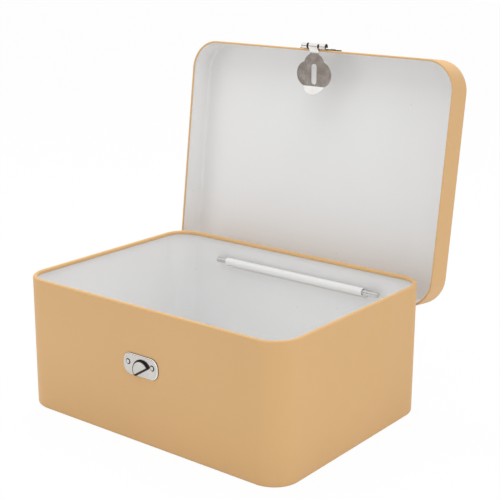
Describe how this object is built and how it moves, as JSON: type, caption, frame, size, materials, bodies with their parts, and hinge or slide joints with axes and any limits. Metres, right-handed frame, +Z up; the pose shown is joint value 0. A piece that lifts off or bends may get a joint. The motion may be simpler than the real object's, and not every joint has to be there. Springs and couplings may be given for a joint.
{
  "type": "tin money box",
  "caption": "Sheet-metal money box with rounded corners, a deep lid on a rolled wire hinge and a slotted hasp that drops over a turn knob.",
  "frame": {"origin": "middle of the base panel's underside, on the ground under the box", "axes": "+Z up out of the box's mouth, -Y out of the front wall with the clasp, +X to the right seen from the front"},
  "size_m": [0.2246, 0.2118, 0.2419],
  "materials": {
    "tan_paint": "matte",
    "nickel": "polished",
    "steel_wire": "satin"
  },
  "bodies": {
    "box": {"body_wall": "tan_paint", "base_panel": "tan_paint", "knob_plate": "nickel", "knob_plate_rivets": "nickel"},
    "knob": {"turn_knob": "nickel", "knob_washer": "steel_wire"},
    "lid": {"lid_shell": "tan_paint", "hinge_wire": "steel_wire", "hasp_plate": "nickel", "hasp_plate_rivets": "nickel"},
    "hasp": {"hasp_pin": "steel_wire", "hasp_leaf": "nickel"}
  },
  "joints": [
    {"name": "lid_hinge", "type": "hinge", "parent": "box", "child": "lid", "pos_m": [0, 0.0818, 0.07205], "axis": [1, 0, 0], "range_deg": [0, 97]},
    {"name": "hasp_swing", "type": "hinge", "parent": "lid", "child": "hasp", "pos_m": [0, 0.10163, 0.23969], "axis": [1, 0, 0], "range_deg": [-130.95, 0]},
    {"name": "knob_turn", "type": "hinge", "parent": "box", "child": "knob", "pos_m": [0, -0.082, 0.053], "axis": [0, 1, 0], "range_deg": [-49, 41]}
  ],
  "couplings": [
    {"joint": "hasp_swing", "follows": "lid_hinge", "ratio": -1.35}
  ]
}
